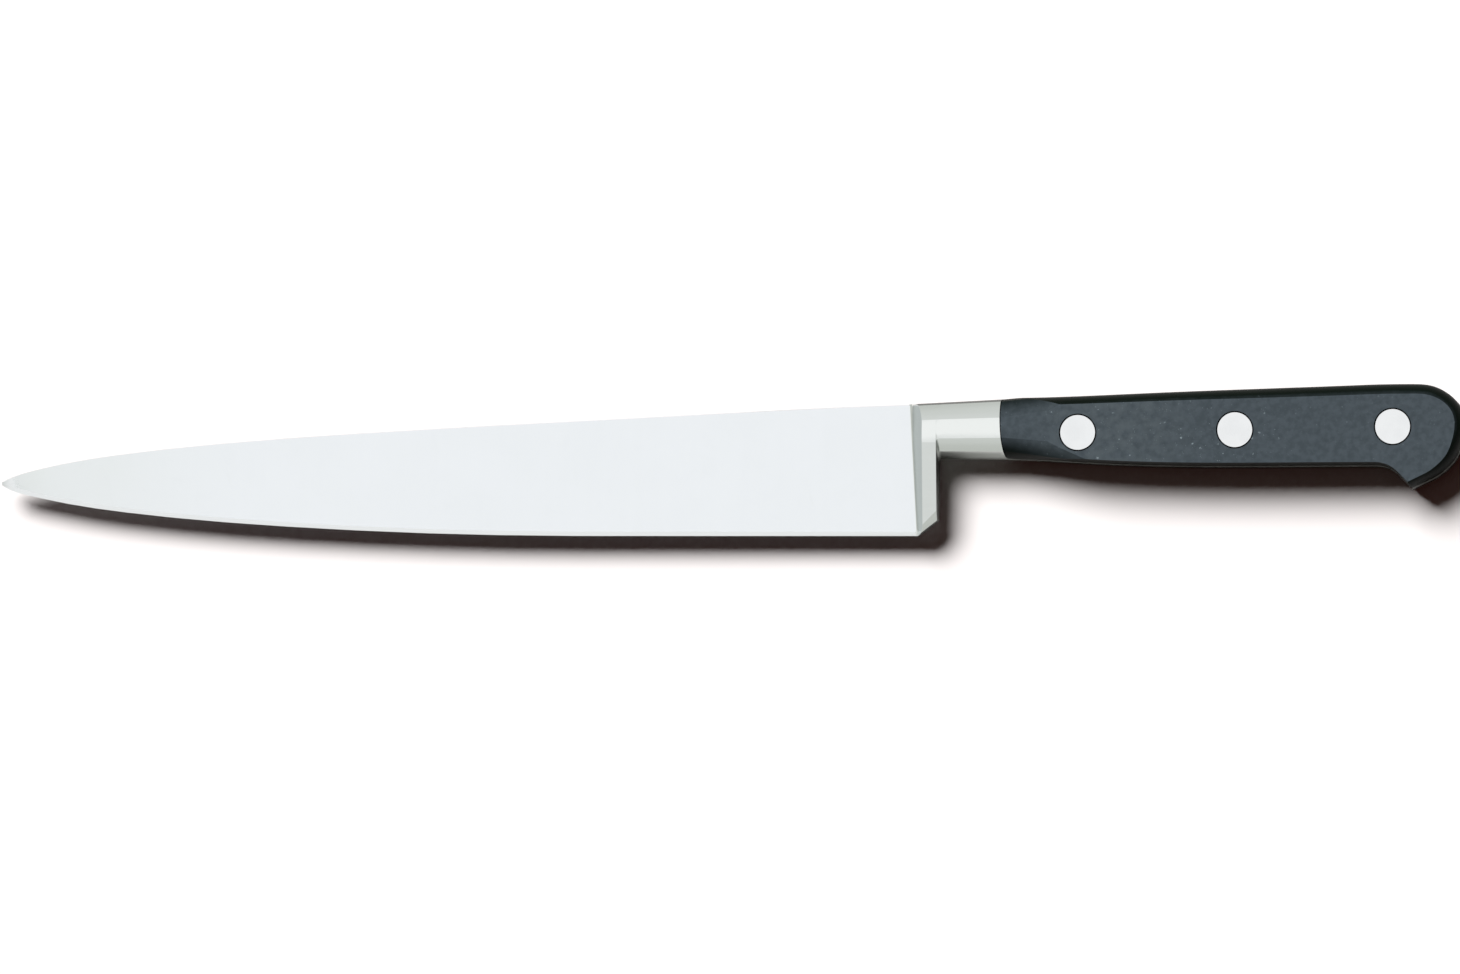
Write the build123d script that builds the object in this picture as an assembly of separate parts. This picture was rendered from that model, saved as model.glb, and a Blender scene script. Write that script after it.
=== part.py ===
from build123d import *
import math
import os

# A French carving knife that lies on its right side: one forging that is the blade, the
# bolster and the full tang, two scales on the tang, and three two-piece rivets.
# It is drawn with X along the knife, the tip at low X and the butt at high X, +Y from
# the cutting edge to the spine and Z across the blade. X is zero at the rear face of
# the guard, Y at the cutting edge and Z in the middle of the blade.

# Blade
blade_length = 200.0
blade_height = 28.0
spine_thickness = 2.6
spine_corner = 0.25
edge_thickness = 0.12
edge_bevel_height = 0.9
edge_bevel_thickness = 0.44

# Bolster: a faceted round neck that turns down into the guard
guard_depth = 3.0
guard_heel_thickness = 5.0
heel_setback = 4.1
heel_rise = 3.2
heel_facet_rise = 2.0
heel_end_thickness = 3.6
ramp_length_top = 3.2
ramp_length_heel = 1.6
ramp_sink = 0.05
neck_length = 14.2
neck_step = 0.1
neck_rise = 0.9
neck_height = 12.75
neck_growth = 1.05
neck_thickness = 12.5
joint_slant = 3.4
joint_splay = 8.8
joint_gap = 0.2
neck_corner_radius = 0.8

# Handle
handle_length = 112.5
handle_climb = 3.1
underside_drop = 1.35
hook_drop = 4.85
grip_thickness = 14.0
grip_straight_thickness = 5.8
grip_rounding_width = 2.35
grip_rounding_sweep = 55.0
underside_rounding_width = 0.33
oval_run = 19.0
oval_spare = 0.9
tang_thickness = 3.0

# Rivets: a hollow half and a solid half, each with a head let into its scale
rivet_head_diameter = 7.4
rivet_head_thickness = 2.4
rivet_sleeve_diameter = 5.0
rivet_pin_diameter = 3.2
rivet_ring_gap = 0.3
rivet_fit_gap = 0.05
rivet_end_gap = 0.6

# How far each cutting tool stands past the surface that it cuts
overrun = 2.0

# How many steps the lofted edge of the handle is rounded in
rounding_steps = 4

# Blade sections from the guard to the tip: place along the blade, heights of the spine
# and of the edge over the blade's height, and thickness over the spine's
blade_shares = [
    (0.010, 1.002, 0.000, 1.00),
    (0.130, 0.970, 0.000, 0.95),
    (0.250, 0.924, 0.000, 0.90),
    (0.370, 0.880, 0.000, 0.84),
    (0.490, 0.834, 0.010, 0.77),
    (0.600, 0.788, 0.036, 0.71),
    (0.700, 0.740, 0.074, 0.65),
    (0.790, 0.686, 0.122, 0.58),
    (0.870, 0.622, 0.182, 0.51),
    (0.930, 0.555, 0.246, 0.45),
    (0.970, 0.490, 0.305, 0.40),
    (0.992, 0.438, 0.352, 0.36),
    (1.000, 0.408, 0.386, 0.34),
]

# The most that the edge bevel takes of the blade's height near the tip
bevel_limit_share = 0.33

# Where along the ramp in front of the bolster the lines of its foot and its rise meet
ramp_foot_share = 0.35

# Corners of the neck's facets from its flat top down one side: height over the neck's
# height and half thickness over its own, and the bulge of the facet below the corner
# over that facet's length. The last row is the corner where the crowned underside starts
neck_facet_shares = [
    (1.000, 0.24, 0.050),
    (0.948, 0.67, 0.057),
    (0.670, 0.96, 0.057),
    (0.330, 0.98, 0.055),
    (0.112, 0.70, 0.000),
]

# The same corners where the oval front of the scales has opened out past the flats, and
# how much of the handle's climb its top has made there
grip_facet_shares = [
    (1.000, 0.62, 0.003),
    (0.990, 0.85, 0.080),
    (0.820, 1.00, 0.017),
    (0.250, 1.00, 0.048),
    (0.020, 0.88, 0.000),
]
oval_climb_share = 0.45

# Top line of the handle: place over the handle's length, height over the climb from the
# neck to the crown, and width of the rounded edge over its widest. It passes over the
# joint, where the oval front cuts it down to the neck
handle_top_shares = [(0.400, 0.385, 0.88), (0.780, 0.905, 1.00)]
joint_top_share = 0.05
joint_rounding_share = 0.80
crown_share = 0.885
crown_rounding_share = 1.00

# Butt from the crown round to the tip of the hook: place over the handle's length,
# height over the handle's height, and width of the rounded edge over its widest
butt_shares = [
    (0.940, 0.970, 0.97),
    (0.976, 0.830, 0.88),
    (0.996, 0.640, 0.90),
    (1.000, 0.460, 0.92),
    (0.990, 0.220, 0.78),
    (0.974, 0.035, 0.66),
    (0.945, -0.128, 0.54),
]

# Hook from its tip forward to the underside: place over the handle's length and height
# over the hook's drop
hook_tip_share = 0.897
tip_rounding_share = 0.46
hook_shares = [(0.8738, -0.45), (0.8578, -0.157), (0.8396, -0.016)]
hook_start_share = 0.818

# Underside from the hook to the neck: place over the handle's length and height over
# the step up to the neck
underside_shares = [(0.420, 0.00), (0.300, 0.38), (0.210, 0.82)]

# Rivets: place over the handle's length and height over the handle's height
rivet_shares = {"front": (0.269, 0.385), "middle": (0.566, 0.418), "rear": (0.864, 0.458)}

neck_top = blade_height + neck_step + neck_rise
neck_bottom = neck_top - neck_height
handle_top = neck_top + handle_climb
handle_underside = neck_bottom - underside_drop
handle_height = handle_top - handle_underside
ramp_start = -guard_depth - ramp_length_top
grip_half = grip_thickness / 2
straight_half = grip_straight_thickness / 2
tang_half = tang_thickness / 2
seat = grip_half - rivet_head_thickness
joint_lean = math.tan(math.radians(joint_slant))
reach = blade_length + handle_length


def neck_top_at(x):
    """Height of the neck's top line, which climbs from the guard to the scales."""
    return neck_top - neck_rise * (neck_length - x) / (neck_length + guard_depth)


def neck_height_at(x):
    """Height of the neck's section, which grows towards the scales."""
    return neck_height - neck_growth * (neck_length - x) / (neck_length + guard_depth)


def cross_plane(x):
    """Plane across the knife, its first axis towards the spine and its second along Z."""
    return Plane(origin=(x, 0, 0), x_dir=(0, 1, 0), z_dir=(1, 0, 0))


def half_space(plane):
    """Solid that fills the side of a plane that its normal points to."""
    return plane * Box(reach, reach, reach, align=(Align.CENTER, Align.CENTER, Align.MIN))


def slab(low, high):
    """Solid between two heights across the blade."""
    block = Box(2 * reach, reach, high - low, align=(Align.CENTER, Align.CENTER, Align.MIN))
    return Pos(0, 0, low) * block


# Blade


def blade_corners(along, spine_share, edge_share, thickness_share):
    """Corners of one wedge section, from the edge up its left side and down its right."""
    bottom = blade_height * edge_share
    top = blade_height * spine_share
    half = spine_thickness * thickness_share / 2
    corner = spine_corner * thickness_share
    bevel = min(edge_bevel_height, (top - bottom) * bevel_limit_share)
    bevel_half = min(edge_bevel_thickness / 2, half)
    x = -blade_length * along
    side = [
        (x, bottom, edge_thickness / 2),
        (x, bottom + bevel, bevel_half),
        (x, top - corner, half),
        (x, top, half - corner),
    ]
    return side + [(x, height, -depth) for x, height, depth in reversed(side)]


def make_blade():
    """Blade with a smooth line through each corner of its sections and a face between."""
    sections = [blade_corners(*shares) for shares in blade_shares]
    lines = [Spline(*[section[corner] for section in sections]) for corner in range(len(sections[0]))]
    faces = [Face.make_surface_from_curves(a, b) for a, b in zip(lines, lines[1:] + lines[:1])]
    ends = [make_face(Polyline(*section, close=True)).face() for section in (sections[0], sections[-1])]
    return Solid(Shell(faces + ends))


# Bolster


def facet_section(plane, top, height, thickness, shares, drop=0):
    """Oval of crowned facets with a flat top, its lower half let down by the drop."""
    side = []
    for height_share, depth_share, bulge_share in shares:
        lowered = drop if height_share < 1 / 2 else 0
        corner_height = top - height * (1 - height_share) - lowered
        side.append((Vector(corner_height, thickness / 2 * depth_share), bulge_share))
    edges = []
    for (upper, bulge_share), (lower, _) in zip(side, side[1:]):
        run = lower - upper
        outward = Vector(run.Y, -run.X) * bulge_share
        middle = (upper + lower) / 2 + outward
        edges.append(ThreePointArc(upper, middle, lower))
    mirrored = [edge.mirror(Plane.XZ) for edge in edges]
    first = side[0][0]
    last = side[-1][0]
    top_edge = Line((first.X, -first.Y), first)
    low_edge = ThreePointArc(last, (top - height - drop, 0), (last.X, -last.Y))
    return plane * make_face([top_edge, *edges, low_edge, *mirrored])


def joint_plane():
    """Slanted plane where the scales butt against the bolster."""
    lean = math.radians(joint_slant)
    origin = (neck_length + neck_top * joint_lean, 0, 0)
    forward = (math.cos(lean), math.sin(lean), 0)
    upward = (-math.sin(lean), math.cos(lean), 0)
    return Plane(origin=origin, x_dir=upward, z_dir=forward)


def scale_side(side, gap=0):
    """Solid behind the splayed joint on one side of the tang, kept off it by a gap."""
    plane = joint_plane()
    splay = Vector(0, 0, side * math.tan(math.radians(joint_splay)))
    origin = plane.origin + plane.z_dir * gap
    splayed = Plane(origin=origin, x_dir=plane.x_dir, z_dir=plane.z_dir + splay)
    low, high = sorted((side * tang_half, side * reach))
    return half_space(splayed) & slab(low, high)


def joint_section():
    stretch = math.cos(math.radians(joint_slant))
    return facet_section(
        joint_plane(), neck_top / stretch, neck_height / stretch, neck_thickness, neck_facet_shares
    )


def neck_section(x, drop):
    """Section of the neck at a place along it, its underside lowered by the drop."""
    top = neck_top_at(x)
    height = neck_height_at(x)
    return facet_section(cross_plane(x), top, height, neck_thickness, neck_facet_shares, drop)


def make_neck():
    """Neck whose underside flares down in a quarter round to the rear of the guard."""
    flare = []
    for step in range(rounding_steps + 1):
        angle = math.radians(90) * step / rounding_steps
        x = neck_corner_radius * (1 - math.sin(angle))
        flare.append(neck_section(x, neck_corner_radius * (1 - math.cos(angle))))
    front = loft([neck_section(ramp_start, neck_corner_radius), flare[-1]], ruled=True)
    rear = loft([flare[0], joint_section()], ruled=True)
    return front + loft(flare) + rear


def guard_corner():
    """Height and half thickness where the guard's face leaves the neck's side facet."""
    height_share, depth_share, _ = neck_facet_shares[-2]
    height = neck_top_at(0) - neck_height_at(0) * (1 - height_share) - neck_corner_radius
    return height, neck_thickness / 2 * depth_share


def guard_half_at(height):
    """Half thickness of the guard at a height above the cutting edge."""
    corner_height, corner_half = guard_corner()
    heel_half = guard_heel_thickness / 2
    return heel_half + (corner_half - heel_half) * height / corner_height


def make_guard():
    height, half = guard_corner()
    heel_half = guard_heel_thickness / 2
    outline = Polyline((0, heel_half), (height, half), (height, -half), (0, -heel_half), close=True)
    return extrude(cross_plane(ramp_start) * make_face(outline), amount=-ramp_start)


def ramp_section(height, ramp_length, foot_half, crest_half):
    """Section at one height of all that is ground away in front of the bolster."""
    crest = -guard_depth
    foot = crest - ramp_length
    front = ramp_start - overrun
    side = neck_thickness / 2 + overrun
    turn = foot + ramp_length * ramp_foot_share
    rise = Bezier((crest, crest_half), (turn, foot_half), (foot, foot_half))
    fall = Bezier((foot, -foot_half), (turn, -foot_half), (crest, -crest_half))
    step = Line((foot, foot_half), (foot, -foot_half))
    rim_points = [(crest, -crest_half), (crest, -side), (front, -side), (front, side), (crest, side)]
    rim = Polyline(*rim_points, (crest, crest_half))
    plane = Plane(origin=(0, height, 0), x_dir=(1, 0, 0), z_dir=(0, -1, 0))
    return plane * make_face([rise, step, fall, rim])


def flank_half_at(height):
    """Half thickness of the blade just ahead of the bolster."""
    edge = edge_thickness / 2
    low = edge_bevel_thickness / 2
    high = spine_thickness / 2
    if height < edge_bevel_height:
        return edge + (low - edge) * max(height, 0) / edge_bevel_height
    return low + (high - low) * (height - edge_bevel_height) / (blade_height - edge_bevel_height)


def make_ramps():
    corner_height, corner_half = guard_corner()
    length_slope = (ramp_length_top - ramp_length_heel) / blade_height
    sections = []
    for height in (-overrun, 0, edge_bevel_height, corner_height, neck_top + overrun):
        crest_half = min(guard_half_at(height), corner_half)
        length = ramp_length_heel + length_slope * height
        foot_half = flank_half_at(height) - ramp_sink
        sections.append(ramp_section(height, length, foot_half, crest_half))
    return loft(sections, ruled=True)


def heel_end_plane():
    """Oblique plane across the blade that ends the heel."""
    run = Vector(heel_setback, heel_rise, 0)
    return Plane(origin=(-heel_setback, 0, 0), x_dir=run, z_dir=(run.Y, -run.X, 0))


def heel_facet_plane(side):
    """Facet between the heel's end and the guard's face, on one side of the blade."""
    end_half = heel_end_thickness / 2
    front = Vector(-heel_setback, 0, side * end_half)
    run = Vector(heel_setback, heel_rise, 0)
    shoulder_height = heel_rise + heel_facet_rise
    shoulder = Vector(0, shoulder_height, side * guard_half_at(shoulder_height))
    normal = run.cross(shoulder - front) * side
    return Plane(origin=front, x_dir=run, z_dir=normal)


def cut_heel(shape):
    """A shape less all that stands past the end and the two facets of the heel."""
    for plane in (heel_end_plane(), heel_facet_plane(1), heel_facet_plane(-1)):
        shape -= half_space(plane)
    return shape


def make_bolster():
    neck = make_neck() - scale_side(1) - scale_side(-1)
    return cut_heel(make_guard()) + neck - make_ramps()


# Handle


def inward(curve, point):
    """Direction into the handle, square to a curve of its outline drawn clockwise."""
    along = curve.tangent_at(point)
    return Vector(along.Y, -along.X)


def mitre(first, first_width, second, second_width):
    """Step from a corner to where two lines set in from its sides cross."""
    share = first.dot(second)
    scale = 1 - share * share
    first_part = first * ((first_width - second_width * share) / scale)
    second_part = second * ((second_width - first_width * share) / scale)
    return first_part + second_part


def outline_points(shares, base, unit, width):
    """Points from shares of the handle's length and of a height unit, with edge widths."""
    points = []
    for row in shares:
        edge_share = row[2] if len(row) > 2 else 1
        points.append((handle_length * row[0], base + unit * row[1], width * edge_share))
    return points


def outline_rows():
    """Points of the four curves of the handle's side outline, with edge widths."""
    lead = neck_length - overrun
    wide = grip_rounding_width
    slim = underside_rounding_width
    joint_width = wide * joint_rounding_share
    crown = (handle_length * crown_share, handle_top, wide * crown_rounding_share)
    tip = (handle_length * hook_tip_share, handle_underside - hook_drop, wide * tip_rounding_share)
    hook_start = (handle_length * hook_start_share, handle_underside, slim)
    joint_low = (neck_length + neck_height * joint_lean, neck_bottom, slim)
    joint_top = neck_top + handle_climb * joint_top_share
    top = [(lead, joint_top, joint_width), (neck_length, joint_top, joint_width)]
    top += outline_points(handle_top_shares, neck_top, handle_climb, wide)
    butt = outline_points(butt_shares, handle_underside, handle_height, wide)
    hook = outline_points(hook_shares, handle_underside, hook_drop, slim)
    low = outline_points(underside_shares, handle_underside, underside_drop, slim)
    return [
        ([*top, crown], [(1, 0), (1, 0)]),
        ([crown, *butt, tip], [(1, 0), (-1, -1 / 2)]),
        ([tip, *hook, hook_start], [(-1, 1), (-1, 0)]),
        ([hook_start, *low, joint_low, (lead, neck_bottom, slim)], [(-1, 0), (-1, 0)]),
    ]


def handle_face(inset_share):
    """Side outline of the handle, set in by a share of its edge widths all round."""
    rows = outline_rows()
    curves = []
    for points, tangents in rows:
        curves.append(Spline(*[(x, y) for x, y, _ in points], tangents=tangents))
    tip = Vector(*rows[1][0][-1][:2])
    tip_width = rows[1][0][-1][2]
    tip_step = mitre(
        inward(curves[1], tip), tip_width, inward(curves[2], tip), underside_rounding_width
    )
    inset = []
    for curve, (points, tangents) in zip(curves, rows):
        moved = []
        for x, y, width in points:
            point = Vector(x, y)
            step = tip_step if (point - tip).length == 0 else inward(curve, point) * width
            moved.append(point + step * inset_share)
        inset.append(Spline(*moved, tangents=tangents))
    inset.append(Line(inset[-1] @ 1, inset[0] @ 0))
    return make_face(inset)


def make_rounding():
    """Left side of the handle outside its straight middle, where the edges round over."""
    sweep = math.radians(grip_rounding_sweep)
    levels = []
    for step in range(rounding_steps + 1):
        angle = sweep * step / rounding_steps
        level = straight_half + (grip_half - straight_half) * math.sin(angle) / math.sin(sweep)
        inset_share = (1 - math.cos(angle)) / (1 - math.cos(sweep))
        levels.append(Pos(0, 0, level) * handle_face(inset_share))
    return loft(levels)


def make_oval():
    """Front of the handle: it starts as the neck's oval and opens out past the flats."""
    thickness = grip_thickness + 2 * oval_spare
    open_top = neck_top + handle_climb * oval_climb_share
    end_top = handle_top + overrun
    end_height = end_top - handle_underside + hook_drop + overrun
    rows = [
        (neck_length + oval_run, open_top, open_top - handle_underside),
        (handle_length + overrun, end_top, end_height),
    ]
    opened = [
        facet_section(cross_plane(x), top, height, thickness, grip_facet_shares)
        for x, top, height in rows
    ]
    return loft([joint_section(), *opened], ruled=True)


def make_tang(oval):
    return extrude(handle_face(0), amount=tang_half, both=True) & oval


def make_left_scale(oval):
    block = extrude(handle_face(0), amount=straight_half) + make_rounding()
    wedge = make_neck() & scale_side(1)
    whole = (block & oval) - slab(-reach, tang_half) + wedge
    return whole & scale_side(1, joint_gap)


# Rivets


def rod(diameter, low, high):
    """Round bar across the blade between two heights."""
    return Pos(0, 0, low) * Cylinder(
        diameter / 2, high - low, align=(Align.CENTER, Align.CENTER, Align.MIN)
    )


def rivet_place(shares):
    """Where a rivet stands in the handle."""
    along, up = shares
    return Pos(handle_length * along, handle_underside + handle_height * up, 0)


def make_sleeve():
    """Hollow half of a rivet, its head on the left."""
    head = rod(rivet_head_diameter, seat, grip_half)
    tube = rod(rivet_sleeve_diameter, rivet_end_gap - seat, seat)
    bore = rod(rivet_pin_diameter + 2 * rivet_fit_gap, -seat, seat)
    return head + (tube - bore)


def make_pin():
    """Solid half of a rivet, its head on the right."""
    head = rod(rivet_head_diameter, -grip_half, -seat)
    return head + rod(rivet_pin_diameter, -seat, seat - rivet_end_gap)


def shank_hole():
    return rod(rivet_sleeve_diameter + 2 * rivet_fit_gap, -grip_half, grip_half)


def head_hole():
    return rod(rivet_head_diameter + 2 * rivet_ring_gap, seat, grip_half + overrun)


# Knife

oval = make_oval()
places = {name: rivet_place(shares) for name, shares in rivet_shares.items()}
tang = make_tang(oval)
left_scale = make_left_scale(oval)
for place in places.values():
    tang -= place * shank_hole()
    left_scale -= place * shank_hole()
    left_scale -= place * head_hole()

pieces = {
    "blade_forging": cut_heel(make_blade()) + make_bolster() + tang,
    "left_scale": left_scale,
    "right_scale": mirror(left_scale, about=Plane.XY),
}
for name, place in places.items():
    pieces[f"{name}_rivet_sleeve"] = place * make_sleeve()
    pieces[f"{name}_rivet_pin"] = place * make_pin()

# The knife lies on its right flat, centred on the origin
laid_down = Pos((blade_length - handle_length) / 2, -handle_top / 2, grip_half)

os.makedirs("parts", exist_ok=True)
for name, piece in pieces.items():
    export_step(laid_down * piece, f"parts/{name}.step")
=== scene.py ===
import bpy
import math
from mathutils import Matrix, Vector

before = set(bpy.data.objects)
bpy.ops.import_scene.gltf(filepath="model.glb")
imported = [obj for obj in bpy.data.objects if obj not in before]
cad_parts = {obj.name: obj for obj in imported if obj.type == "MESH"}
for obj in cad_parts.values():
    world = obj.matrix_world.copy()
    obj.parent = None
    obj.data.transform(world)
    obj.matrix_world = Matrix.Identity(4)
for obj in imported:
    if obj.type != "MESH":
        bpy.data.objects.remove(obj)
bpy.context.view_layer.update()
bpy.ops.object.select_all(action="DESELECT")
print("frame loaded")


# Camera: a long lens above the knife, leaned a little to the butt and to the cutting edge

camera = {
    "aim": (-0.0006, -0.0056, 0.007),
    "lean": (0.0958, -0.077, 1.0),
    "lens": 800.0,
    "sensorWidth": 36.0,
    "seenWidth": 0.3101,
    "nearest": 0.1,
    "farthest": 100.0,
}


def addCamera():
    data = bpy.data.cameras.new("photoCamera")
    data.lens = camera["lens"]
    data.sensor_width = camera["sensorWidth"]
    away = camera["seenWidth"] * camera["lens"] / data.sensor_width
    towards = Vector(camera["lean"]).normalized()
    right = (Vector((1, 0, 0)) - towards * towards.x).normalized()
    up = towards.cross(right)
    turned = Matrix((right, up, towards)).transposed().to_4x4()
    seen = bpy.data.objects.new("photoCamera", data)
    seen.matrix_world = Matrix.Translation(Vector(camera["aim"]) + towards * away) @ turned
    data.clip_start = camera["nearest"]
    data.clip_end = camera["farthest"]
    bpy.context.scene.collection.objects.link(seen)
    bpy.context.scene.camera = seen


addCamera()
print("camera placed")


# Node helpers: values are given by socket name or number, each a plain value or an output


def put(tree, node, values):
    for name, value in values.items():
        if isinstance(value, bpy.types.NodeSocket):
            tree.links.new(value, node.inputs[name])
        else:
            node.inputs[name].default_value = value
    return node


def addNode(tree, kind, values, **settings):
    node = tree.nodes.new(kind)
    for name, value in settings.items():
        setattr(node, name, value)
    return put(tree, node, values)


def addMath(tree, operation, *values):
    return addNode(tree, "ShaderNodeMath", dict(enumerate(values)), operation=operation).outputs[0]


def addFade(tree, value, low, high):  # 0 at low and 1 at high, smooth between
    limits = {"Value": value, "From Min": low, "From Max": high}
    return addNode(tree, "ShaderNodeMapRange", limits, interpolation_type="SMOOTHSTEP").outputs[0]


def addMix(tree, factor, first, second):  # two colours
    values = {0: factor, 6: first, 7: second}
    for place, value in ((6, first), (7, second)):
        if not isinstance(value, bpy.types.NodeSocket):
            values[place] = (*value, 1)
    return addNode(tree, "ShaderNodeMix", values, data_type="RGBA").outputs[2]


def addBlend(tree, factor, first, second):  # two numbers
    return addNode(tree, "ShaderNodeMix", {0: factor, 2: first, 3: second}).outputs[0]


def addNoise(tree, place, scale, detail):
    values = {"Vector": place, "Scale": scale, "Detail": detail}
    return addNode(tree, "ShaderNodeTexNoise", values).outputs[0]


# Light: one soft sun from the upper left that draws the shadow, and a pale studio dome with
# a brighter soft box nearly overhead, which the steel and the polished edges mirror

light = {
    "sunTowards": (-0.42, 0.60, 1.0),
    "sunColour": (1.0, 0.96, 0.95),
    "sunStrength": 4.8,
    "sunAngle": 30.0,
    "shadeColour": (0.024, 0.009, 0.007),
    "paperColour": (0.90, 0.90, 0.90),
    "paperBounce": (0.30, 0.30, 0.30),
    "paperSize": 60.0,
    "boxTowards": (0.0, 0.19, 1.0),
    "domeLevels": {
        0.000: (0.545, 0.560, 0.530),
        0.170: (0.570, 0.585, 0.555),
        0.700: (0.680, 0.695, 0.675),
        0.883: (0.730, 0.740, 0.730),
        0.927: (0.870, 0.875, 0.875),
        0.961: (1.000, 1.000, 1.000),
    },
}


def addLight():
    bpy.context.scene.view_settings.view_transform = "Standard"
    sunData = bpy.data.lights.new("keySun", "SUN")
    sunData.energy = light["sunStrength"]
    sunData.color = light["sunColour"]
    sunData.angle = math.radians(light["sunAngle"])
    sun = bpy.data.objects.new("keySun", sunData)
    sun.rotation_mode = "QUATERNION"
    sun.rotation_quaternion = Vector(light["sunTowards"]).to_track_quat("Z", "Y")
    sun.visible_glossy = False
    bpy.context.scene.collection.objects.link(sun)


def addWorld():
    world = bpy.data.worlds.new("studio")
    world.use_nodes = True
    bpy.context.scene.world = world
    tree = world.node_tree
    towards = addNode(tree, "ShaderNodeTexCoord", {}).outputs["Generated"]
    box = tuple(Vector(light["boxTowards"]).normalized())
    near = addNode(tree, "ShaderNodeVectorMath", {0: towards, 1: box}, operation="DOT_PRODUCT")
    levels = addNode(tree, "ShaderNodeValToRGB", {"Fac": near.outputs["Value"]})
    ramp = levels.color_ramp
    ramp.interpolation = "EASE"
    while len(ramp.elements) < len(light["domeLevels"]):
        ramp.elements.new(0.5)
    for element, (at, colour) in zip(ramp.elements, light["domeLevels"].items()):
        element.position = at
        element.color = (*colour, 1)
    dome = addNode(tree, "ShaderNodeBackground", {"Color": levels.outputs["Color"]})
    shade = put(tree, tree.nodes["Background"], {"Color": (*light["shadeColour"], 1)})
    path = addNode(tree, "ShaderNodeLightPath", {}).outputs
    seen = addMath(tree, "MAXIMUM", path["Is Camera Ray"], path["Is Glossy Ray"])
    seen = addMath(tree, "MAXIMUM", seen, path["Is Transmission Ray"])
    both = addNode(tree, "ShaderNodeMixShader", {0: seen, 1: shade.outputs[0], 2: dome.outputs[0]})
    put(tree, tree.nodes["World Output"], {"Surface": both.outputs[0]})


def addFloor():
    bpy.ops.mesh.primitive_plane_add(size=light["paperSize"], location=(0, 0, 0))
    floor = bpy.context.object
    floor.name = "floor"
    paint = bpy.data.materials.new("palePaper")
    paint.use_nodes = True
    tree = paint.node_tree
    # Light that bounced before meets a darker paper, so that the shadow stays deep
    depth = addNode(tree, "ShaderNodeLightPath", {}).outputs["Diffuse Depth"]
    colour = addMix(tree, depth, light["paperColour"], light["paperBounce"])
    values = {"Base Color": colour, "Roughness": 1.0, "Specular IOR Level": 0.0}
    put(tree, tree.nodes["Principled BSDF"], values)
    floor.data.materials.append(paint)


addLight()
addWorld()
addFloor()
print("light and floor placed")


# Shared effects, each a node group that the materials below place with their own values

effects = {
    "toneFade": (0.3, 0.7),
    "broadLineShare": 0.16,
    "speckCore": 0.4,
    "speckRaggedScale": 5.0,
    "speckRaggedGain": 4.0,
    "speckRaggedStart": -1.0,
    "scratchAngles": (18.0, 74.0, 131.0),
    "scratchGain": -0.14,
    "scratchStart": 0.80,
    "scratchFade": 0.05,
}


def startGroup(name, inputs, outputs):
    group = bpy.data.node_groups.new(name, "ShaderNodeTree")
    for label, value in inputs.items():
        kind = "NodeSocketVector" if value is None else "NodeSocketFloat"
        socket = group.interface.new_socket(label, in_out="INPUT", socket_type=kind)
        if value is not None:
            socket.default_value = value
    for label in outputs:
        group.interface.new_socket(label, in_out="OUTPUT", socket_type="NodeSocketFloat")
    return group, group.nodes.new("NodeGroupInput").outputs, group.nodes.new("NodeGroupOutput")


def useGroup(tree, name, values):
    return addNode(tree, "ShaderNodeGroup", values, node_tree=bpy.data.node_groups[name]).outputs


def scaled(tree, place, *sizes):  # place over a size for each axis
    parts = addNode(tree, "ShaderNodeSeparateXYZ", {0: place}).outputs
    shares = [addMath(tree, "DIVIDE", part, size) for part, size in zip(parts, sizes)]
    return addNode(tree, "ShaderNodeCombineXYZ", dict(enumerate(shares))).outputs[0]


def makeGrindLines():  # lines that run along Y, left by a belt or a wheel
    inputs = {"Place": None, "Spacing": 0.0003, "Run": 0.02}
    group, given, result = startGroup("grindLines", inputs, ["Height", "Tone"])
    place = scaled(group, given["Place"], given["Spacing"], given["Run"], given["Run"])
    fine = addNoise(group, place, 1.0, 2.0)
    broad = addNoise(group, place, effects["broadLineShare"], 2.0)
    put(group, result, {"Height": fine, "Tone": addFade(group, broad, *effects["toneFade"])})


def makeCloudTone():  # soft uneven patches
    group, given, result = startGroup("cloudTone", {"Place": None, "Size": 0.01}, ["Tone"])
    place = scaled(group, given["Place"], *[given["Size"]] * 3)
    patches = addNoise(group, place, 1.0, 3.0)
    put(group, result, {"Tone": addFade(group, patches, *effects["toneFade"])})


def makeSpecks():  # ragged dots of different sizes, one in some of the cells
    inputs = {"Place": None, "Cell": 0.001, "Radius": 0.2, "Share": 0.3}
    group, given, result = startGroup("specks", inputs, ["Mask"])
    place = scaled(group, given["Place"], *[given["Cell"]] * 3)
    cells = addNode(group, "ShaderNodeTexVoronoi", {"Vector": place, "Scale": 1.0}).outputs
    chance = addNode(group, "ShaderNodeSeparateXYZ", {0: cells["Color"]}).outputs
    present = addMath(group, "LESS_THAN", chance["X"], given["Share"])
    ragged = addNoise(group, place, effects["speckRaggedScale"], 1.0)
    ragged = addMath(
        group, "MULTIPLY_ADD", ragged, effects["speckRaggedGain"], effects["speckRaggedStart"]
    )
    size = addMath(group, "MULTIPLY", addMath(group, "MULTIPLY", given["Radius"], chance["Y"]), ragged)
    core = addMath(group, "MULTIPLY", size, effects["speckCore"])
    dot = addFade(group, cells["Distance"], size, core)
    put(group, result, {"Mask": addMath(group, "MULTIPLY", dot, present)})


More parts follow.
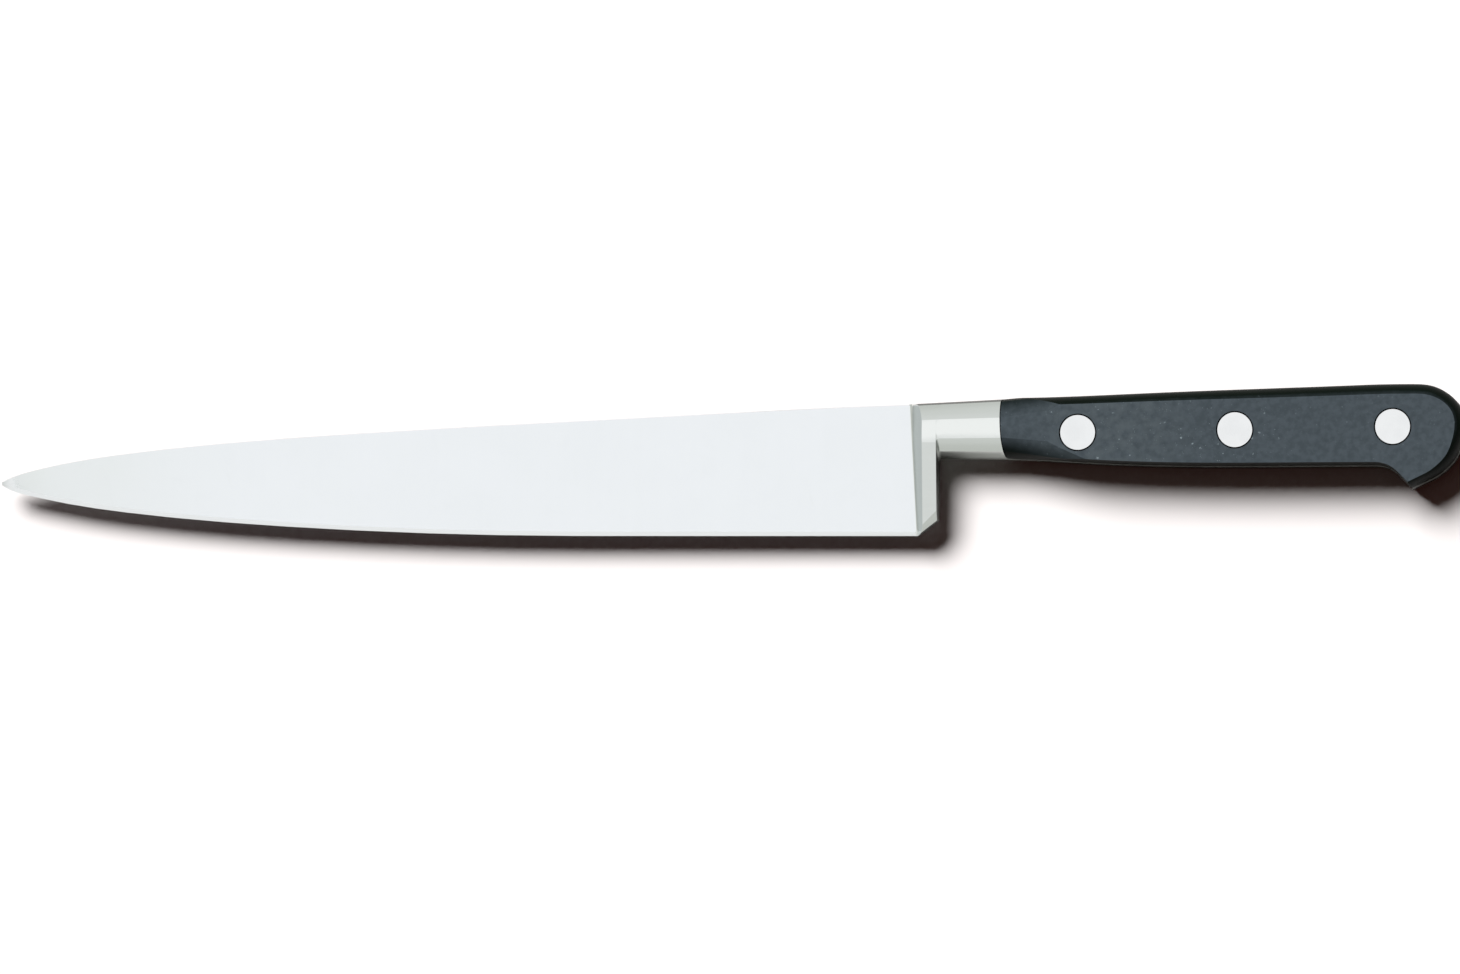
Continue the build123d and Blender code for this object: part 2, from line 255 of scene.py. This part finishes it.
def makeHairScratches():  # short fine strokes in three directions
    inputs = {"Place": None, "Length": 0.006, "Width": 0.0002, "Amount": 0.5}
    group, given, result = startGroup("hairScratches", inputs, ["Mask"])
    start = addMath(
        group, "MULTIPLY_ADD", given["Amount"], effects["scratchGain"], effects["scratchStart"]
    )
    full = addMath(group, "ADD", start, effects["scratchFade"])
    mask = None
    for degrees in effects["scratchAngles"]:
        turn = {"Vector": given["Place"], "Angle": math.radians(degrees)}
        turned = addNode(group, "ShaderNodeVectorRotate", turn, rotation_type="Z_AXIS").outputs[0]
        place = scaled(group, turned, given["Length"], given["Width"], given["Length"])
        stroke = addFade(group, addNoise(group, place, 1.0, 0.0), start, full)
        mask = stroke if mask is None else addMath(group, "MAXIMUM", mask, stroke)
    put(group, result, {"Mask": mask})


def makeFlatMask():  # 1 where a face lies flat, falling to 0 where it turns down
    inputs = {
        "Place": None, "Normal": None, "Inner": 1.0, "Outer": 0.7, "Roundness": 1.5, "Uneven": 0.0,
        "Size": 0.002,
    }
    group, given, result = startGroup("flatMask", inputs, ["Mask"])
    facing = addNode(group, "ShaderNodeSeparateXYZ", {0: given["Normal"]}).outputs
    place = scaled(group, given["Place"], *[given["Size"]] * 3)
    ragged = addMath(group, "SUBTRACT", addNoise(group, place, 1.0, 2.0), 0.5)
    level = addMath(group, "ABSOLUTE", facing["Z"])
    level = addMath(group, "MULTIPLY_ADD", ragged, given["Uneven"], level)
    limits = {"Value": level, "From Min": given["Outer"], "From Max": given["Inner"]}
    share = addNode(group, "ShaderNodeMapRange", limits).outputs[0]
    put(group, result, {"Mask": addMath(group, "POWER", share, given["Roundness"])})


def makeTurnedRings():  # faint rings round the Z axis, left by a lathe
    group, given, result = startGroup("turnedRings", {"Place": None, "Spacing": 0.0002}, ["Height"])
    flat = addNode(group, "ShaderNodeVectorMath", {0: given["Place"], 1: (1, 1, 0)}, operation="MULTIPLY")
    away = addNode(group, "ShaderNodeVectorMath", {0: flat.outputs[0]}, operation="LENGTH")
    ring = addMath(group, "DIVIDE", away.outputs["Value"], given["Spacing"])
    place = addNode(group, "ShaderNodeCombineXYZ", {0: ring}).outputs[0]
    put(group, result, {"Height": addNoise(group, place, 1.0, 2.0)})


makeGrindLines()
makeCloudTone()
makeSpecks()
makeHairScratches()
makeFlatMask()
makeTurnedRings()
print("shared effects made")


def startMaterial(name):
    material = bpy.data.materials.new(name)
    material.use_nodes = True
    tree = material.node_tree
    coordinates = addNode(tree, "ShaderNodeTexCoord", {}).outputs
    return material, tree, coordinates["Object"], coordinates["Normal"]


def finishMaterial(tree, values, height, depth, strength):
    bump = {"Height": height, "Distance": depth, "Strength": strength}
    normal = addNode(tree, "ShaderNodeBump", bump).outputs[0]
    put(tree, tree.nodes["Principled BSDF"], {**values, "Normal": normal})


def wear(material, *names):
    for name in names:
        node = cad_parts[name]
        node.data.materials.clear()
        node.data.materials.append(material)


# Forged steel: ground blade, polished bolster, and duller steep faces on bolster and tang, whose darker
# colour is a painted dark reflection

steel = {
    "bladeColour": (0.866, 0.896, 0.922),
    "tipColour": (0.800, 0.834, 0.824),
    "tipFrom": -0.100,
    "tipTo": -0.156,
    "cloudColour": (0.842, 0.874, 0.896),
    "cloudSize": 0.012,
    "bladeRoughness": 0.195,
    "lineRoughness": 0.205,
    "lineSpacing": 0.00028,
    "lineRun": 0.018,
    "edgeColour": (0.900, 0.940, 0.955),
    "edgeRoughness": 0.42,
    "edgeScatter": 0.35,
    "edgeFacing": (-0.09, -0.15),
    "spineShadeColour": (0.640, 0.655, 0.655),
    "bolsterColour": (0.842, 0.870, 0.855),
    "bolsterRoughness": 0.12,
    "bolsterFront": 0.03915,
    "bolsterRake": 0.0571,
    "bolsterFade": (-0.0003, 0.0005),
    "edgeHeight": -0.01605,
    "dullShadeColour": (0.240, 0.262, 0.246),
    "topShadeColour": (0.150, 0.164, 0.154),
    "dullRoughness": 0.36,
    "dullFacing": (0.60, 0.42),
    "topFacing": (0.3, 0.6),
    "rampFacing": (-0.55, -0.25),
    "behindFacing": (0.08, 0.25),
    "cornerRise": (0.010, 0.013),
    "cornerGain": -0.35,
    "rimTint": 0.75,
    "jointPlace": 0.0585,
    "jointFade": 0.001,
    "tangMiddle": 0.007,
    "tangHalf": 0.0015,
    "tangFade": (0.0003, 0.0001),
    "tangReach": (-0.003, -0.0025),
    "tangFacing": (0.9, 0.97),
    "lineTint": 0.04,
    "cloudTint": 0.40,
    "waveSize": 0.0035,
    "waveHeight": 4.0,
    "scratches": {"Length": 0.005, "Width": 0.00016, "Amount": 0.10},
    "scratchRoughness": 0.06,
    "scratchHeight": -0.4,
    "lineDepth": 0.000004,
    "bumpStrength": 0.6,
}


def makeSteel():
    material, tree, place, normal = startMaterial("forgedSteel")
    at = addNode(tree, "ShaderNodeSeparateXYZ", {0: place}).outputs
    facing = addNode(tree, "ShaderNodeSeparateXYZ", {0: normal}).outputs
    up = addMath(tree, "ABSOLUTE", facing["Z"])
    lines = useGroup(
        tree, "grindLines", {"Place": place, "Spacing": steel["lineSpacing"], "Run": steel["lineRun"]}
    )
    clouds = useGroup(tree, "cloudTone", {"Place": place, "Size": steel["cloudSize"]})["Tone"]
    waves = useGroup(tree, "cloudTone", {"Place": place, "Size": steel["waveSize"]})["Tone"]
    scratches = useGroup(tree, "hairScratches", {"Place": place, **steel["scratches"]})["Mask"]

    # Bolster: everything past a foot that leans with the ramp
    rise = addMath(tree, "SUBTRACT", at["Y"], steel["edgeHeight"])
    foot = addMath(tree, "MULTIPLY_ADD", rise, -steel["bolsterRake"], steel["bolsterFront"])
    past = addMath(tree, "SUBTRACT", at["X"], foot)
    onBolster = addFade(tree, past, *steel["bolsterFade"])

    # Tang: what lies behind the joint, and its flat faces, which show through the joint's gap and take
    # the dark steel colour as painted shade in the gap
    behindJoint = addMath(tree, "SUBTRACT", at["X"], steel["jointPlace"])
    onTang = addFade(tree, behindJoint, 0.0, steel["jointFade"])
    depth = addMath(tree, "ABSOLUTE", addMath(tree, "SUBTRACT", at["Z"], steel["tangMiddle"]))
    depth = addMath(tree, "SUBTRACT", depth, steel["tangHalf"])
    underScale = addMath(
        tree, "MULTIPLY",
        addFade(tree, behindJoint, *steel["tangReach"]), addFade(tree, depth, *steel["tangFade"]),
    )
    underScale = addMath(tree, "MULTIPLY", underScale, addFade(tree, up, *steel["tangFacing"]))

    # Dull finish with painted dark reflection on the steep faces but the ramp; the flared corner between
    # neck and guard counts as steep too, a painted shade that darkens the corner
    behind = addFade(tree, facing["X"], *steel["behindFacing"])
    inCorner = addMath(tree, "MULTIPLY", behind, addFade(tree, rise, *steel["cornerRise"]))
    level = addMath(tree, "MULTIPLY_ADD", inCorner, steel["cornerGain"], up)
    steep = addFade(tree, level, *steel["dullFacing"])
    notRamp = addMath(tree, "MAXIMUM", onTang, addFade(tree, facing["X"], *steel["rampFacing"]))
    isDullShaded = addMath(tree, "MAXIMUM", addMath(tree, "MULTIPLY", steep, notRamp), underScale)

    # Edge bevel of the blade
    towardsEdge = addFade(tree, facing["Y"], *steel["edgeFacing"])
    onBlade = addMath(tree, "SUBTRACT", 1.0, onBolster)
    onEdge = addMath(tree, "MULTIPLY", towardsEdge, onBlade)
    onEdge = addMath(tree, "MULTIPLY", onEdge, addMath(tree, "SUBTRACT", 1.0, steep))

    # Colour
    towardsTip = addFade(tree, at["X"], steel["tipFrom"], steel["tipTo"])
    blade = addMix(tree, towardsTip, steel["bladeColour"], steel["tipColour"])
    patches = addMath(tree, "MULTIPLY", clouds, steel["cloudTint"])
    patches = addMath(tree, "MULTIPLY_ADD", lines["Tone"], steel["lineTint"], patches)
    blade = addMix(tree, patches, blade, steel["cloudColour"])
    blade = addMix(tree, onEdge, blade, steel["edgeColour"])
    # Steep faces of the blade, such as the spine, get a darker colour: painted dark reflection
    blade = addMix(tree, steep, blade, steel["spineShadeColour"])
    # Steep faces of bolster and tang are rougher, and darker as painted dark reflection, darkest where
    # they turn towards +Y
    above = addFade(tree, facing["Y"], *steel["topFacing"])
    dullShade = addMix(tree, above, steel["dullShadeColour"], steel["topShadeColour"])
    bolster = addMix(tree, isDullShaded, steel["bolsterColour"], dullShade)
    colour = addMix(tree, onBolster, blade, bolster)

    # Roughness
    rough = addBlend(tree, lines["Tone"], steel["bladeRoughness"], steel["lineRoughness"])
    rough = addBlend(tree, onEdge, rough, steel["edgeRoughness"])
    smooth = addBlend(tree, isDullShaded, steel["bolsterRoughness"], steel["dullRoughness"])
    rough = addBlend(tree, onBolster, rough, smooth)
    rough = addMath(tree, "MULTIPLY_ADD", scratches, steel["scratchRoughness"], rough)

    # Height
    waves = addMath(tree, "MULTIPLY", waves, steel["waveHeight"])
    height = addBlend(tree, onBolster, lines["Height"], waves)
    height = addMath(tree, "MULTIPLY_ADD", scratches, steel["scratchHeight"], height)

    metallic = addMath(tree, "MULTIPLY_ADD", onEdge, -steel["edgeScatter"], 1.0)
    rim = [steel["rimTint"]] * 3 + [1]
    values = {"Base Color": colour, "Roughness": rough, "Metallic": metallic, "Specular Tint": rim}
    finishMaterial(tree, values, height, steel["lineDepth"], steel["bumpStrength"])
    return material


# Black plastic scales: flats roughened by sanding and lightened by a painted sheen, rounded edges near
# black as painted dark reflection

scale = {
    "sandedSheenColour": (0.061, 0.079, 0.092),
    "sandedSheenDark": (0.048, 0.063, 0.073),
    "smudgeColour": (0.078, 0.099, 0.110),
    "sandedRoughness": (0.42, 0.52),
    # Near black on the rounded edges: painted dark reflection
    "edgeColour": (0.0015, 0.0040, 0.0025),
    "edgeRoughness": 0.42,
    "flats": {"Inner": 1.0, "Outer": 0.70, "Uneven": 0.05, "Size": 0.0016, "Roundness": 1.5},
    "sandedAngle": 86.0,
    "lines": {"Spacing": 0.00025, "Run": 0.006},
    "cloudSize": 0.0012,
    "smudgeSize": 0.0020,
    "smudgeTint": 0.7,
    "specks": {"Cell": 0.0011, "Radius": 0.25, "Share": 0.50},
    "speckColour": (0.26, 0.33, 0.36),
    "speckTint": 0.15,
    "handledTint": 0.50,
    "marksFrom": (0.062, 0.072),
    "handledTo": (0.124, 0.104),
    "smudgedTo": (0.104, 0.086),
    "shine": 0.03,
    "lineDepth": 0.000004,
    "flatLines": 0.8,
    "edgeLines": 0.2,
    "speckHeight": 0.6,
    "bumpStrength": 0.7,
}


def makeScale():
    material, tree, place, normal = startMaterial("blackPlastic")
    at = addNode(tree, "ShaderNodeSeparateXYZ", {0: place}).outputs
    flat = useGroup(tree, "flatMask", {"Place": place, "Normal": normal, **scale["flats"]})["Mask"]
    turn = {"Vector": place, "Angle": math.radians(scale["sandedAngle"])}
    turned = addNode(tree, "ShaderNodeVectorRotate", turn, rotation_type="Z_AXIS").outputs[0]
    lines = useGroup(tree, "grindLines", {"Place": turned, **scale["lines"]})
    clouds = useGroup(tree, "cloudTone", {"Place": place, "Size": scale["cloudSize"]})["Tone"]
    smudges = useGroup(tree, "cloudTone", {"Place": place, "Size": scale["smudgeSize"]})["Tone"]
    specks = useGroup(tree, "specks", {"Place": place, **scale["specks"]})["Mask"]

    # Marks are thickest round the front rivet and behind it, smudges end sooner
    front = addFade(tree, at["X"], *scale["marksFrom"])
    handled = addMath(tree, "MULTIPLY", front, addFade(tree, at["X"], *scale["handledTo"]))
    rubbed = addMath(tree, "MULTIPLY", front, addFade(tree, at["X"], *scale["smudgedTo"]))
    worn = addMath(tree, "MULTIPLY_ADD", handled, scale["handledTint"], scale["speckTint"])
    marks = addMath(tree, "MULTIPLY", addMath(tree, "MULTIPLY", specks, worn), flat)

    # Colour
    sandedSheen = addMix(tree, clouds, scale["sandedSheenColour"], scale["sandedSheenDark"])
    smudged = addMath(tree, "MULTIPLY", smudges, rubbed)
    smudged = addMath(tree, "MULTIPLY", smudged, scale["smudgeTint"])
    sandedSheen = addMix(tree, smudged, sandedSheen, scale["smudgeColour"])
    # Flats take the lighter colour, a painted sheen on sanding-roughened plastic; the rounded edges take
    # near black, a painted dark reflection
    colour = addMix(tree, flat, scale["edgeColour"], sandedSheen)
    colour = addMix(tree, marks, colour, scale["speckColour"])

    # Roughness and height
    rough = addBlend(tree, lines["Tone"], *scale["sandedRoughness"])
    rough = addBlend(tree, flat, scale["edgeRoughness"], rough)
    shown = addMath(tree, "MULTIPLY_ADD", flat, scale["flatLines"], scale["edgeLines"])
    height = addMath(tree, "MULTIPLY", lines["Height"], shown)
    height = addMath(tree, "MULTIPLY_ADD", specks, scale["speckHeight"], height)

    values = {"Base Color": colour, "Roughness": rough, "Specular IOR Level": scale["shine"]}
    finishMaterial(tree, values, height, scale["lineDepth"], scale["bumpStrength"])
    return material


# Rivets: satin metal heads with faint lathe rings

rivet = {
    "colour": (0.900, 0.915, 0.925),
    "markColour": (0.800, 0.815, 0.830),
    "cloudSize": 0.0025,
    "cloudTint": 0.35,
    "roughness": 0.24,
    "ringRoughness": 0.10,
    "ringSpacing": 0.00022,
    "ringDepth": 0.000005,
    "scratches": {"Length": 0.0016, "Width": 0.00012, "Amount": 0.2},
    "scratchHeight": -0.25,
    "bumpStrength": 0.6,
}


def makeRivetMetal(name, centre):
    material, tree, place, _ = startMaterial(name)
    shift = {"Vector": place, "Location": [-part for part in centre]}
    moved = addNode(tree, "ShaderNodeMapping", shift).outputs[0]
    rings = useGroup(tree, "turnedRings", {"Place": moved, "Spacing": rivet["ringSpacing"]})["Height"]
    clouds = useGroup(tree, "cloudTone", {"Place": place, "Size": rivet["cloudSize"]})["Tone"]
    scratches = useGroup(tree, "hairScratches", {"Place": place, **rivet["scratches"]})["Mask"]
    patches = addMath(tree, "MULTIPLY", clouds, rivet["cloudTint"])
    colour = addMix(tree, patches, rivet["colour"], rivet["markColour"])
    rough = addMath(tree, "MULTIPLY_ADD", rings, rivet["ringRoughness"], rivet["roughness"])
    height = addMath(tree, "MULTIPLY_ADD", scratches, rivet["scratchHeight"], rings)
    values = {"Base Color": colour, "Roughness": rough, "Metallic": 1.0}
    finishMaterial(tree, values, height, rivet["ringDepth"], rivet["bumpStrength"])
    return material


def middleOf(name):
    corners = [Vector(corner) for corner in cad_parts[name].bound_box]
    return sum(corners, Vector()) / len(corners)


wear(makeSteel(), "blade_forging")
wear(makeScale(), "left_scale", "right_scale")
for spot in ("front", "middle", "rear"):
    head = f"{spot}_rivet_sleeve"
    wear(makeRivetMetal(f"{spot}RivetMetal", middleOf(head)), head, f"{spot}_rivet_pin")
print("materials made")

print("finished")
